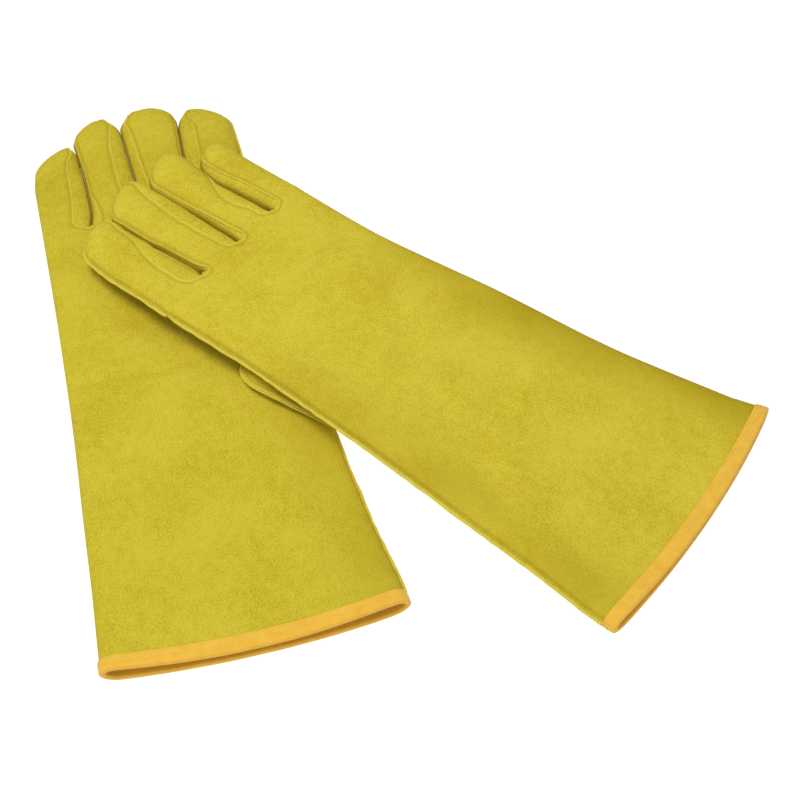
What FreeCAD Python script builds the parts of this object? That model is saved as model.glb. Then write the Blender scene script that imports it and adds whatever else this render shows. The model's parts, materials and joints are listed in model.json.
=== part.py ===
import FreeCAD, Part
import math
import os

from FreeCAD import Vector

# A pair of long split-leather beekeeping gloves. The left glove lies on its palm with the thumb
# folded under it, and the right glove lies across it, thumb under too, with its cuff on the ground.
# Every glove is drawn in its own coordinates, in millimetres: u runs from the cuff (0) to the
# fingertips, v runs across towards the thumb side, and z is the height above the ground.

# Driving dimensions, in millimetres and degrees
LEATHER = 1.2            # hide thickness
LINING = 0.5             # cotton jersey thickness
PLAY = 0.1               # gap between one sewn layer and the next
CUFF_BOW = 7.0           # how far the middle of the cuff edge stands out past its corners
CUFF_FOLD_U = 90.0       # the line on which the cuff is turned back
KNUCKLE_U = 298.0        # the line through the finger crotches
FINGERTIP_ROUND = 15.0   # length over which a fingertip rounds off
SIDE_ROLL = 30.0         # width over which the flat of the glove rolls down to its side
WELT_THICK = 1.2         # strip of hide sewn into the thumb-side seam
WELT_PROUD = 1.6         # how far it stands out of the seam
FORCHETTE_SHARE = 0.45   # height of the strip between two fingers, as a share of the finger's height
BINDING_WIDTH = 7.0      # tape folded over the cuff edge
BINDING_THICK = 0.9
BINDING_PLAY = 0.7       # room under the tape for the seams it runs over
CUFF_LIFT = BINDING_PLAY + BINDING_THICK
BEYOND = 100.0           # larger than any glove is thick, for the solids that only cut

# Height of the glove at stations along u, and the stations of the hide panels. The tables start
# behind the cuff line, so that the bowed edge is cut from a longer cuff.
HEIGHT = {-14: 11, 90: 12, 160: 12.5, 250: 13, 298: 13.5}
TAPE_STATIONS = (-14, 20)
CUFF_STATIONS = (-14, 20, 50, CUFF_FOLD_U)
HAND_STATIONS = (CUFF_FOLD_U, 160, 250, KNUCKLE_U)

FINGER_STATIONS = (KNUCKLE_U, 320, 345)
FINGER_NAMES = ("little", "ring", "middle", "index")
FINGER_HEIGHT = 15.0
CROTCH_GAP = 1.4         # gap between two neighbours at the crotch
FINGER_GAP = 3.0         # gap between them from this share of their length on
FINGER_TAPER = 0.6
CROTCH_WEB = 2.0         # length of the web at the crotch
TIP_STEPS = (15, 9, 5, 2, 0)   # stations of a fingertip, back from its end
TIP_BLUNT = 0.25         # least share of the full section at the very tip, outside and inside
TIP_BLUNT_INSIDE = 0.03

# Thumb, folded flat under the palm. It turns about the middle of its own opening.
THUMB_U, THUMB_V = 180.0, 42.0
THUMB_LENGTH = 72.0      # from that opening to the tip
THUMB_HEEL = 20.0        # how far it reaches behind the opening
THUMB_BASE_HALF = 19.0
THUMB_TIP_HALF = 14.0
THUMB_HEIGHT = 6.0
THUMB_ANGLE = 9.0        # from the u axis, towards the thumb side
THUMB_HOLE_R = 12.0      # opening from the palm into the thumb
THUMB_RING = 1.2         # width of the welt round that opening
THUMB_CLEAR = 0.5        # between the palm and the thumb
THUMB_TIP_ROUND = 16.0   # length over which the tip and the heel round off
THUMB_HEEL_ROUND = 14.0
THUMB_HEEL_STEPS = (0, 2, 5, 14)
THUMB_TIP_STEPS = (30, 16, 9, 4, 1.5, 0)
THUMB_STATIONS = [step - THUMB_HEEL for step in THUMB_HEEL_STEPS]
THUMB_STATIONS += [THUMB_LENGTH - step for step in THUMB_TIP_STEPS]

# Each glove: middle of its cuff line, heading of the fingers, side of the thumb, half widths on the
# little finger's side and the thumb's side along u, the lines between its fingers along u, u of the
# fingertips, height of its underside along u and at the fingertips, and whether its fingers are free
# to be lifted.
# Both are one pattern. The soft hide lies a little wider or narrower on each of them.
GLOVES = {
    "left": {
        "cuff_at": (0.0, 0.0),
        "heading": 0.0,
        "thumb_side": 1,
        "little_side": {
            -14: 76, 20: 74, 50: 72.5, 90: 71, 160: 67.5, 250: 66, 298: 65.8, 355: 66, 370: 63,
        },
        "thumb_edge": {-14: 83, 20: 79, 50: 75.5, 90: 72, 160: 67.8, 250: 65.5, 298: 64.5},
        "finger_lines": (
            {298: -36.5, 320: -34.3, 355: -34.5, 381: -37.7},
            {298: -1, 345: -4.5, 379: -6},
            {298: 29, 357: 29.2, 382: 31},
        ),
        "tips": {"little": 382, "ring": 404, "middle": 407, "index": 399},
        "underside": {-14: CUFF_LIFT, 20: CUFF_LIFT, 50: 0, 90: 0, 160: 6.5, 298: 6.5},
        "tip_underside": 0.0,
        "free_fingers": False,
    },
    "right": {
        "cuff_at": (235.0, 9.0),
        "heading": 40.2,
        "thumb_side": -1,
        "little_side": {
            -14: 96, 20: 88, 50: 81.5, 90: 74, 160: 66.5, 250: 60, 298: 61.6, 345: 68.5, 362: 71.5,
        },
        "thumb_edge": {-14: 81.5, 20: 77, 50: 74, 90: 72, 160: 70, 250: 65.7, 298: 64.8, 345: 57.5, 374: 50},
        "finger_lines": (
            {298: -36.5, 345: -41, 365: -46.5, 380: -49},
            {298: -5.5, 345: -12, 365: -15, 382: -16},
            {298: 26, 345: 22, 365: 18.5},
        ),
        "tips": {"little": 372, "ring": 390, "middle": 391.5, "index": 382.5},
        "underside": {-14: CUFF_LIFT, 20: CUFF_LIFT, 160: 20.9, 298: 30.2},
        "tip_underside": 21.0,
        "free_fingers": True,
    },
}

# The side of a glove's section: how far in from the edge, and how high, from the seam to the flat
ROLL = ((0.0, 0.0), (0.08, 0.45), (0.3, 0.85), (0.62, 1.0))
LEAST_RISE = 0.05        # between the seam and the flat, where a tip runs out


def at(table, u):
    """Straight-line value between the stations of a table."""
    keys = sorted(table)
    if u <= keys[0]:
        return float(table[keys[0]])
    for low, high in zip(keys, keys[1:]):
        if u <= high:
            return table[low] + (table[high] - table[low]) * (u - low) / (high - low)
    return float(table[keys[-1]])


def place(glove, u, v, z):
    """Glove coordinates to the part's frame."""
    turn = math.radians(glove["heading"])
    along = Vector(-math.sin(turn), math.cos(turn), 0)
    across = Vector(math.cos(turn), math.sin(turn), 0) * glove["thumb_side"]
    x, y = glove["cuff_at"]
    return Vector(x, y, z) + along * u + across * v


def main_section(glove, u, inset):
    """Section of the cuff and hand: its centre, half width, seam height and half height."""
    height = at(HEIGHT, u)
    low, high = -at(glove["little_side"], u), at(glove["thumb_edge"], u)
    return {
        "v": (low + high) / 2,
        "half": (high - low) / 2 - inset,
        "seam": at(glove["underside"], u) + height / 2,
        "crown": height / 2 - inset,
    }


def rounding(distance, length, least):
    """1 along a finger, falling on a circle to least at its tip."""
    share = max(0.0, min(1.0, distance / length))
    return max(least, math.sqrt(1 - (1 - share) ** 2))


def finger_section(glove, name, u, inset):
    """The same for one finger, from the knuckle line to its tip."""
    lines = [at(line, u) for line in glove["finger_lines"]]
    edges = [-at(glove["little_side"], u)] + lines + [at(glove["thumb_edge"], u)]
    low, high = edges[FINGER_NAMES.index(name):][:2]
    tip = glove["tips"][name]
    share = (u - KNUCKLE_U) / (tip - KNUCKLE_U)
    taper = min(1.0, share / FINGER_TAPER)
    half = (high - low - CROTCH_GAP - (FINGER_GAP - CROTCH_GAP) * taper) / 2 - inset
    height = at(HEIGHT, KNUCKLE_U) + (FINGER_HEIGHT - at(HEIGHT, KNUCKLE_U)) * taper
    under = at(glove["underside"], KNUCKLE_U) * (1 - share) + glove["tip_underside"] * share
    r = rounding(tip - inset - u, FINGERTIP_ROUND, TIP_BLUNT_INSIDE if inset else TIP_BLUNT)
    return {
        "v": (high + low) / 2,
        "half": half * r,
        "seam": under + height / 2,
        "crown": (height / 2 - inset) * r,
    }


def finger_stations(glove, name):
    return list(FINGER_STATIONS) + [glove["tips"][name] - step for step in TIP_STEPS]


def outline(section, rims, up):
    """Half of a section, from the rim on the thumb side over the flat to the other rim."""
    roll = min(section["half"], SIDE_ROLL)
    points = []
    for side, rim in ((1, rims[0]), (-1, rims[1])):
        rise = max(section["crown"] - rim, LEAST_RISE)
        half = []
        for inward, lift in ROLL:
            v = section["v"] + side * (section["half"] - inward * roll)
            half.append((v, section["seam"] + up * (rim + lift * rise)))
        points += half if side > 0 else half[::-1]
    return points


def wire(glove, u, points):
    corners = [place(glove, u, v, z) for v, z in points]
    return Part.makePolygon(corners + corners[:1])


def loft(wires):
    solid = Part.makeLoft(wires, True, True)
    if solid.Volume < 0:
        solid.reverse()
    return solid


def panel(glove, section_of, stations, rims_of, up):
    """A hide panel: the upper or lower half of the glove's wall, one hide thick."""
    wires = []
    for u in stations:
        outer, inner = section_of(u, 0.0), section_of(u, LEATHER)
        rims = rims_of(outer)
        wires.append(wire(glove, u, outline(outer, rims, up) + outline(inner, rims, up)[::-1]))
    return loft(wires)


def tube(glove, section_of, stations, inset):
    """The whole section at that inset, filled."""
    wires = []
    for u in stations:
        section = section_of(u, inset)
        points = outline(section, (0.0, 0.0), 1)
        points += outline(section, (0.0, 0.0), -1)[::-1][1:-1]
        wires.append(wire(glove, u, points))
    return loft(wires)


def sock(glove, section_of, stations):
    """The lining: a thin tube just inside the hide."""
    outside = LEATHER + PLAY
    return tube(glove, section_of, stations, outside).cut(tube(glove, section_of, stations, outside + LINING))


def seam_strip(glove, section_of, stations, side, near, far, thick_of):
    """A strip along one side seam, from near to far of the hide's edge, thick_of(section) high."""
    wires = []
    for u in stations:
        s = section_of(u, 0.0)
        edge, high = s["v"] + side * s["half"], thick_of(s) / 2
        corners = []
        for out, z in ((near, -high), (far, -high), (far, high), (near, high)):
            corners.append((edge + side * out, s["seam"] + z))
        wires.append(wire(glove, u, corners))
    return loft(wires)


def welt(glove, section_of, stations):
    """The strip of hide sewn into the thumb-side seam."""
    return seam_strip(glove, section_of, stations, 1, -LEATHER, WELT_PROUD, lambda section: WELT_THICK)


def beyond_edge(glove, offset):
    """Everything on the arm side of the bowed cuff edge, moved by offset."""
    cuff = main_section(glove, 0, 0.0)
    half = cuff["half"] + BINDING_WIDTH
    bow = CUFF_BOW * (half / cuff["half"]) ** 2
    corners = []
    for u, side in ((bow - CUFF_BOW + offset, 1), (bow - CUFF_BOW + offset, -1), (-BEYOND, -1), (-BEYOND, 1)):
        corners.append(place(glove, u, cuff["v"] + side * half, -BEYOND))
    crest = place(glove, offset - CUFF_BOW, cuff["v"], -BEYOND)
    edges = [Part.Arc(corners[0], crest, corners[1]).toShape()]
    edges += [Part.makeLine(a, b) for a, b in zip(corners[1:], corners[2:] + corners[:1])]
    return Part.Face(Part.Wire(edges)).extrude(Vector(0, 0, 2 * BEYOND))


def welted_rims(section):
    """Rims of a panel that meets the welt on the thumb side and its partner on the other."""
    return (WELT_THICK / 2 + PLAY, PLAY / 2)


def forchette_height(section):
    return 2 * section["crown"] * FORCHETTE_SHARE


def finger_rims(name):
    def rims(section):
        strip = forchette_height(section) / 2 + PLAY
        welt = min(WELT_THICK / 2 + PLAY, section["crown"] / 2)
        join = PLAY / 2
        return (welt if name == "index" else strip, join if name == "little" else strip)
    return rims


def cuff_parts(glove):
    """The part of the gauntlet on the arm side of the turn-back line."""
    def section_of(u, inset):
        return main_section(glove, u, inset)
    edge = beyond_edge(glove, 0.0)
    parts = {
        "cuff_back": panel(glove, section_of, CUFF_STATIONS, welted_rims, 1).cut(edge),
        "cuff_palm": panel(glove, section_of, CUFF_STATIONS, welted_rims, -1).cut(edge),
        "cuff_welt": welt(glove, section_of, CUFF_STATIONS).cut(beyond_edge(glove, BINDING_WIDTH + PLAY)),
        "cuff_lining": sock(glove, section_of, CUFF_STATIONS).cut(edge),
    }
    parts["cuff_binding"] = cuff_binding(glove, section_of)
    return parts


def cuff_binding(glove, section_of):
    """Tape folded over the cuff edge: a solid of its outside, less the slot for the hide and lining."""
    inside = LEATHER + PLAY + LINING + PLAY

    def layer(inset):
        return tube(glove, section_of, TAPE_STATIONS, inset)

    tape = layer(-CUFF_LIFT).cut(layer(inside + BINDING_THICK))
    tape = tape.common(beyond_edge(glove, BINDING_WIDTH)).cut(beyond_edge(glove, -CUFF_LIFT))
    held = layer(-BINDING_PLAY).cut(layer(inside)).cut(beyond_edge(glove, -PLAY))
    return tape.cut(held)


def hand_parts(glove):
    """Palm, back of the hand and the upper gauntlet, as far as the knuckle line."""
    def section_of(u, inset):
        return main_section(glove, u, inset)
    hole = thumb_bore(glove, THUMB_HOLE_R + THUMB_RING + PLAY)
    return {
        "hand_back": panel(glove, section_of, HAND_STATIONS, welted_rims, 1),
        "hand_palm": panel(glove, section_of, HAND_STATIONS, welted_rims, -1).cut(hole),
        "hand_welt": welt(glove, section_of, HAND_STATIONS),
        "hand_lining": sock(glove, section_of, HAND_STATIONS).cut(hole),
    }


def finger_parts(glove, name):
    def section_of(u, inset):
        return finger_section(glove, name, u, inset)
    stations, rims = finger_stations(glove, name), finger_rims(name)
    parts = {
        f"{name}_back": panel(glove, section_of, stations, rims, 1),
        f"{name}_palm": panel(glove, section_of, stations, rims, -1),
        f"{name}_lining": sock(glove, section_of, stations),
    }
    if name == "index":
        parts["index_welt"] = welt(glove, section_of, stations[:-2])
    return parts


def forchette_strip(glove, name, side):
    """The strip that joins the back and palm of a finger, on one side of it."""
    def section_of(u, inset):
        return finger_section(glove, name, u, inset)
    stations = finger_stations(glove, name)[:-1]
    return seam_strip(glove, section_of, stations, side, -LEATHER, 0.0, forchette_height)


def crotch_tie(glove, name):
    """The short web that joins a finger's strip to its neighbour's on the thumb side."""
    def section_of(u, inset):
        return finger_section(glove, name, u, inset)
    stations = (KNUCKLE_U, KNUCKLE_U + CROTCH_WEB)
    return seam_strip(glove, section_of, stations, 1, -LEATHER, CROTCH_GAP + LEATHER, forchette_height)


def forchettes(glove):
    """Each strip runs up one finger and down the next; across a joint it is two strips."""
    parts = {}
    if glove["free_fingers"]:
        for name in FINGER_NAMES:
            sides = [side for side, end in ((1, "index"), (-1, "little")) if name != end]
            strips = [forchette_strip(glove, name, side) for side in sides]
            parts[f"{name}_forchette"] = Part.makeCompound(strips)
        return parts
    for low, high in zip(FINGER_NAMES, FINGER_NAMES[1:]):
        pieces = [crotch_tie(glove, low), forchette_strip(glove, high, -1)]
        parts[f"{low}_{high}_forchette"] = forchette_strip(glove, low, 1).fuse(pieces)
    return parts


def thumb_plane(glove):
    """Origin and directions of the plane under the palm that the thumb lies and swings in."""
    rise = at(glove["underside"], KNUCKLE_U) - at(glove["underside"], THUMB_U)
    slope = math.atan2(rise, KNUCKLE_U - THUMB_U)
    flat = {**glove, "cuff_at": (0.0, 0.0)}
    along = place(flat, math.cos(slope), 0, math.sin(slope))
    across = place(flat, 0, 1, 0)
    normal = place(flat, -math.sin(slope), 0, math.cos(slope))
    origin = place(glove, THUMB_U, THUMB_V, at(glove["underside"], THUMB_U))
    return origin, along, across, normal


def thumb_bore(glove, radius):
    origin, _, _, normal = thumb_plane(glove)
    depth = THUMB_HEIGHT + FINGER_HEIGHT
    return Part.makeCylinder(radius, depth, origin - normal * (depth / 2), normal)


def thumb_wire(glove, along_thumb, points):
    """A section across the thumb: points are (across, height below the palm's underside)."""
    origin, along, across, normal = thumb_plane(glove)
    turn = math.radians(THUMB_ANGLE)
    ahead = along * math.cos(turn) + across * math.sin(turn)
    aside = across * math.cos(turn) - along * math.sin(turn)
    corners = [origin + ahead * along_thumb + aside * w + normal * z for w, z in points]
    return Part.makePolygon(corners + corners[:1])


def thumb_section(p, inset):
    share = max(0.0, min(1.0, p / THUMB_LENGTH))
    half = THUMB_BASE_HALF + (THUMB_TIP_HALF - THUMB_BASE_HALF) * share
    least = TIP_BLUNT_INSIDE if inset else TIP_BLUNT
    r = min(
        rounding(THUMB_LENGTH - inset - p, THUMB_TIP_ROUND, least),
        rounding(THUMB_HEEL - inset + p, THUMB_HEEL_ROUND, least),
    )
    middle = -THUMB_CLEAR - THUMB_HEIGHT / 2
    return {
        "v": 0.0,
        "half": (half - inset) * r,
        "seam": middle,
        "crown": THUMB_HEIGHT / 2 - inset,
    }


def thumb_shell(glove, up):
    wires = []
    rims = (WELT_THICK / 2 + PLAY, WELT_THICK / 2 + PLAY)
    for p in THUMB_STATIONS:
        outer, inner = thumb_section(p, 0.0), thumb_section(p, LEATHER)
        wires.append(thumb_wire(glove, p, outline(outer, rims, up) + outline(inner, rims, up)[::-1]))
    return loft(wires)


def thumb_tube(glove, inset):
    wires = []
    for p in THUMB_STATIONS:
        section = thumb_section(p, inset)
        points = outline(section, (0.0, 0.0), 1) + outline(section, (0.0, 0.0), -1)[::-1][1:-1]
        wires.append(thumb_wire(glove, p, points))
    return loft(wires)


def thumb_welt(glove):
    """A flat ring of hide sewn between the two halves of the thumb."""
    wires = []
    beyond = WELT_PROUD / 2
    for p in [-THUMB_HEEL - beyond] + THUMB_STATIONS + [THUMB_LENGTH + beyond]:
        section = thumb_section(p, 0.0)
        low, high = section["seam"] - WELT_THICK / 2, section["seam"] + WELT_THICK / 2
        w = section["half"] + WELT_PROUD / 2
        wires.append(thumb_wire(glove, p, [(-w, low), (w, low), (w, high), (-w, high)]))
    return loft(wires).cut(thumb_tube(glove, LEATHER))


def thumb_parts(glove):
    hole = thumb_bore(glove, THUMB_HOLE_R + THUMB_RING + PLAY)
    outer_half = thumb_shell(glove, -1)
    inner_half = thumb_shell(glove, 1).cut(hole.common(thumb_half_space(glove)))
    lining = thumb_tube(glove, LEATHER + PLAY).cut(thumb_tube(glove, LEATHER + PLAY + LINING))
    return {
        "thumb_front": outer_half,
        "thumb_back": inner_half,
        "thumb_welt": thumb_welt(glove),
        "thumb_lining": lining.cut(hole.common(thumb_half_space(glove))),
    }


def thumb_half_space(glove):
    """The half of the thumb that faces the palm, where its opening is."""
    origin, _, _, normal = thumb_plane(glove)
    middle = origin - normal * (THUMB_CLEAR + THUMB_HEIGHT / 2)
    return Part.makeCylinder(BEYOND, BEYOND, middle, normal)


def thumb_ring(glove):
    """The welt round the opening from the palm into the thumb. The thumb turns about it."""
    origin, _, _, normal = thumb_plane(glove)
    depth = LEATHER + THUMB_CLEAR + LEATHER
    foot = origin - normal * (THUMB_CLEAR + LEATHER)
    outer = Part.makeCylinder(THUMB_HOLE_R + THUMB_RING, depth, foot, normal)
    return outer.cut(Part.makeCylinder(THUMB_HOLE_R, depth, foot, normal))


def glove_parts(glove):
    parts = {}
    parts.update(cuff_parts(glove))
    parts.update(hand_parts(glove))
    for name in FINGER_NAMES:
        parts.update(finger_parts(glove, name))
    parts.update(forchettes(glove))
    if not glove["free_fingers"]:
        parts["side_welt"] = parts.pop("hand_welt").fuse(parts.pop("index_welt"))
    parts.update(thumb_parts(glove))
    parts["thumb_ring"] = thumb_ring(glove)
    return parts


def main():
    shapes = {}
    for side, glove in GLOVES.items():
        for name, shape in glove_parts(glove).items():
            shapes[f"{side}_{name}"] = shape
    box = Part.makeCompound(list(shapes.values())).optimalBoundingBox(False, False)
    shift = Vector(-(box.XMin + box.XMax) / 2, -(box.YMin + box.YMax) / 2, -box.ZMin)
    os.makedirs("parts", exist_ok=True)
    for name, shape in sorted(shapes.items()):
        shape.translate(shift)
        shape.exportStep(f"parts/{name}.step")
    print(len(shapes), "parts; the middle of the left cuff line is at", shift.x, shift.y, shift.z)


main()
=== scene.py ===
import json
import math

import bpy
import numpy as np
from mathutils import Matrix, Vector

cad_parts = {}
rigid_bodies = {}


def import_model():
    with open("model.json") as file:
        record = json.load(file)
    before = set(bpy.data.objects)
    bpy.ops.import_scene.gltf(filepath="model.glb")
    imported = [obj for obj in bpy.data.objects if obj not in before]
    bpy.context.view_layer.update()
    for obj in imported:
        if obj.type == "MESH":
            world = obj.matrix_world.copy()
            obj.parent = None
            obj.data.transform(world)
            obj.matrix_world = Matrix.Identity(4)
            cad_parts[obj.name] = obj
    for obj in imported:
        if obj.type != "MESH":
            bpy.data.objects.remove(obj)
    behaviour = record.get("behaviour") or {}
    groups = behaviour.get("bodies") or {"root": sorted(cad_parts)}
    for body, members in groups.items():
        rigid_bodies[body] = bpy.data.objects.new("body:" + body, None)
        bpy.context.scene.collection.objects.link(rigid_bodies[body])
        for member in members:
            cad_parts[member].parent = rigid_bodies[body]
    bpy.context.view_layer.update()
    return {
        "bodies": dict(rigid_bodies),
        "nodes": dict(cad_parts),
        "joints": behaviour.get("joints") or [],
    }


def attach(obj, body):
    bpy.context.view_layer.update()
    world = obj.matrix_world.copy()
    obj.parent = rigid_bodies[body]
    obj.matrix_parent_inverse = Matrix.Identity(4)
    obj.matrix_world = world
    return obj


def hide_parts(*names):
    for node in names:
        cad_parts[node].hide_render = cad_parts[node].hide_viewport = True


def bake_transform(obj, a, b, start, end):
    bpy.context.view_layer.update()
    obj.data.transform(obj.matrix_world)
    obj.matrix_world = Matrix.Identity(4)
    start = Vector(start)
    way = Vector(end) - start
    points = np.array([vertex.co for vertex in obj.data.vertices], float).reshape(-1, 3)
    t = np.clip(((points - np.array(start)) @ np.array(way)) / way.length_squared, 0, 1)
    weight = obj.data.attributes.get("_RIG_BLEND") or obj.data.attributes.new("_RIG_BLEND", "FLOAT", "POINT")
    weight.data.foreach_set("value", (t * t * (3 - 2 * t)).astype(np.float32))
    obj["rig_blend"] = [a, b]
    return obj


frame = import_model()

# Every glove is drawn in its own coordinates, in metres: u runs from the cuff line to the
# fingertips, v runs across towards the thumb, and z is up. All sizes are taken from the CAD frame
# or from the lists here, which are in millimetres unless they say otherwise.
MM = 0.001
UP = np.array((0.0, 0.0, 1.0))
FINGERS = ("little", "ring", "middle", "index")
BACK, PALM = 1, -1

FOLD_U = 90 * MM             # the line the cuff is turned back on, where its joint stands
KNUCKLE_U = 298 * MM         # the line through the finger crotches
CUFF_STATIONS = (20 * MM, 50 * MM)
HAND_STATIONS = (160 * MM, 250 * MM)
FINGER_STATIONS = (KNUCKLE_U, 320 * MM, 345 * MM)
LAST_STATION = 15 * MM       # of a finger, back from its tip
PARTING = 10 * MM            # beyond it, how soon a finger's side leaves its neighbour's
SLICE = 0.3 * MM             # reach of a station when its CAD corners are picked
HAIR = 0.1 * MM              # allowance when points are told apart by their place

LEATHER = 1.2 * MM
LINING = 0.5 * MM
WELT_HALF = 0.75 * MM        # half the opening between the two rims at the thumb-side seam
SIDE_ROLL = 9.5 * MM         # width over which the hide rolls down to its side
GUSSET_DEPTH = 0.6 * MM      # how far a gusset lies under the rims it is sewn to
GUSSET_PUCKER = (5 * MM, 0.35 * MM)    # wavelength and height
WEB = 4 * MM                 # how far a gusset stands forward of its crotch, halfway down
CUFF_BOW = 7 * MM
BOW_REACH = 60 * MM
MOUTH_CLOSED = {"left": 2.2, "right": 3.6}   # how far the palm side of the mouth rises, in millimetres
MOUTH_REACH = 55 * MM
KNUCKLE_BLEND, KNUCKLE_ROWS = 15 * MM, 13    # where the flat hand becomes four round fingers
CROTCH_DIP, CROTCH_DIP_WIDTH = 1.2 * MM, 6 * MM
SEAM_REACH = 30 * MM         # how far back from the crotches the gusset seams are felt
HELD_REACH = 9 * MM          # how far from a seam the hide is free to lie slack
TIP_FADE = (-1 * MM, 3 * MM)    # distance from the fingertips over which all relief fades in
GROUND_GAP = 0.15 * MM       # the least height of the hide's outside
JOINT_REACH = 12 * MM        # half the length over which the hide bends at the cuff line
FINGER_BEND = (1 * MM, 15 * MM)

COLUMNS = 28                 # faces across each finger and its share of the hand
ROW = 2 * MM
CROTCH_ROWS = (0.12, 0.3, 0.6, 1.0, 1.6, 2.3, 3.2, 4.3, 5.6, 7.0, 8.6)
TAPE_ROWS = 4                # rows of the panel that lie under the tape
TIP_TURNS = tuple(range(6, 86, 8)) + (86, 89.3)
SPREAD = (1 - np.cos(np.pi * np.linspace(0, 1, COLUMNS + 1))) / 2

# The CAD leaves a gap between its rigid fingers that widens along them. The soft ones touch, apart
# from the slits of the right glove, which close towards the fingertips. Gaps are counted from the
# little finger.
CAD_GAP, CAD_GAP_LENGTH = (1.4 * MM, 3.0 * MM), 55 * MM
CLOSED = 0.05
SLITS = {"left": (CLOSED, CLOSED, CLOSED), "right": (2.5, 1.3, 3.0)}
SLIT_END = (332, 352)

# Fingers: the power of their round section. Fingertips: length that rounds off, how pointed they
# are, and how far they lean to the thumb side. The powers shape the tip's lean, crown and seams.
FINGER_ROUND = 2.4
LEAN_POWER, CROWN_POWER, SEAM_POWER = 1.5, 0.65, 0.7
TIPS = {
    "left": {"little": (19, 1.25, 8), "ring": (20, 1.2, 5), "middle": (16, 1.0, 0), "index": (20, 1.2, -6)},
    "right": {"little": (13, 0.9, 0), "ring": (14, 1.0, -4), "middle": (14, 1.0, -8), "index": (14, 1.0, -5)},
}
# How far in from the sides of each finger the two seams of its back lie, along u: the first on the
# little finger's side, the second on the thumb's side. The soft fingers lie rolled to one side, so
# that most gaps show a wide gusset on one finger and the other rolls over its seam.
OUTER = {298: 0}
BACK_SEAMS = {
    "left": {
        "little": (OUTER, {314: 10, 335: 9, 352: 8.4, 363: 6.6, 372: 3.5}),
        "ring": ({307: 5.5, 330: 1}, {334: 10, 349: 9.5, 367: 9, 379: 7.5, 392: 5}),
        "middle": ({334: 6, 376: 5.2, 394: 3.5}, {334: 1}),
        "index": ({340: 9, 376: 9, 387: 4}, OUTER),
    },
    "right": {
        "little": (OUTER, {308: 5, 352: 4.5, 366: 2.5}),
        "ring": ({308: 7, 325: 10.5, 350: 2.5, 360: 1}, {303: 3, 345: 1.5}),
        "middle": ({302: 9, 345: 12, 366: 10, 382: 7}, {303: 0.6}),
        "index": ({310: 13, 320: 13, 343: 9, 355: 5.5, 368: 4.5}, OUTER),
    },
}
PALM_SEAM = {298: 0.35}
SEAM_LIMIT = 0.85            # the most that a seam lies in from the side, as a share of the finger's width
SEAM_START = 0.9, 3 * MM     # how soon a seam leaves its crotch: a share of its inset, and at least this

# How far the soft hide is drawn in from the CAD's edge on the thumb side, along u
DRAWN_IN = {
    "left": {298: 0},
    "right": {90: 0, 180: 2.6, 250: 3.4, 320: 2.6, 365: 0.5},
}

JOINTS = {joint["name"]: joint for joint in frame["joints"]}

# Where the hide bends beside a joint, as two places along u
BENDS = {name + " bend": (KNUCKLE_U + FINGER_BEND[0], KNUCKLE_U + FINGER_BEND[1]) for name in FINGERS}
BENDS["cuff bend"] = (FOLD_U + JOINT_REACH, FOLD_U - JOINT_REACH)


# ---- numbers

def smoothstep(low, high, x):
    t = np.clip((x - low) / (high - low), 0, 1)
    return t * t * (3 - 2 * t)


def smooth(stations, values, x, level_ends):
    """A curve through the stations that never overshoots them, straight or level beyond its ends."""
    x = np.asarray(x, float)
    step = np.diff(stations)
    chord = np.diff(values) / step
    slope = np.concatenate((chord[:1], np.zeros(len(chord) - 1), chord[-1:]))
    before, after = chord[:-1], chord[1:]
    rising = before * after > 0
    slope[1:-1][rising] = (2 * before * after / (before + after + ~rising))[rising]
    i = np.clip(np.searchsorted(stations, x) - 1, 0, len(step) - 1)
    t = np.clip((x - stations[i]) / step[i], 0, 1)
    y = values[i] * (1 + 2 * t) * (1 - t) ** 2 + values[i + 1] * t * t * (3 - 2 * t)
    y += step[i] * t * (1 - t) * (slope[i] * (1 - t) - slope[i + 1] * t)
    if not level_ends:
        y += slope[0] * np.minimum(x - stations[0], 0) + slope[-1] * np.maximum(x - stations[-1], 0)
    return y


HASH = (374761393, 668265263, 144269504, 1274126177)    # large factors that scatter the numbers


def lattice(ix, iy, seed):
    """A fixed number from -1 to 1 for each point of a square lattice."""
    n = (ix * HASH[0] + iy * HASH[1] + seed * HASH[2]) & 0xFFFFFFFF
    n = ((n ^ (n >> 13)) * HASH[3]) & 0xFFFFFFFF
    return (n ^ (n >> 16)) / 2.0 ** 31 - 1


def noise(x, y, seed):
    """Smooth value noise from -1 to 1, with one lattice cell to a unit."""
    ix, iy = np.floor(x).astype(np.int64), np.floor(y).astype(np.int64)
    tx, ty = smoothstep(0, 1, x - ix), smoothstep(0, 1, y - iy)
    low = lattice(ix, iy, seed) * (1 - tx) + lattice(ix + 1, iy, seed) * tx
    high = lattice(ix, iy + 1, seed) * (1 - tx) + lattice(ix + 1, iy + 1, seed) * tx
    return low * (1 - ty) + high * ty


def wander(run, wave, seed):
    """Noise along a line, with a swell of about that wavelength."""
    return noise(run / wave, 0 * run, seed)


def quarter(x):
    """0 at 0, rising on a quarter circle to 1 at 1."""
    return np.sqrt(1 - (1 - np.clip(x, 0, 1)) ** 2)


def unit(v):
    return v / np.maximum(np.linalg.norm(v, axis=-1, keepdims=True), 1e-12)


def run_length(line):
    """Distance along a line at each of its points."""
    return np.concatenate(((0.0,), np.cumsum(np.linalg.norm(np.diff(line, axis=0), axis=1))))


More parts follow.
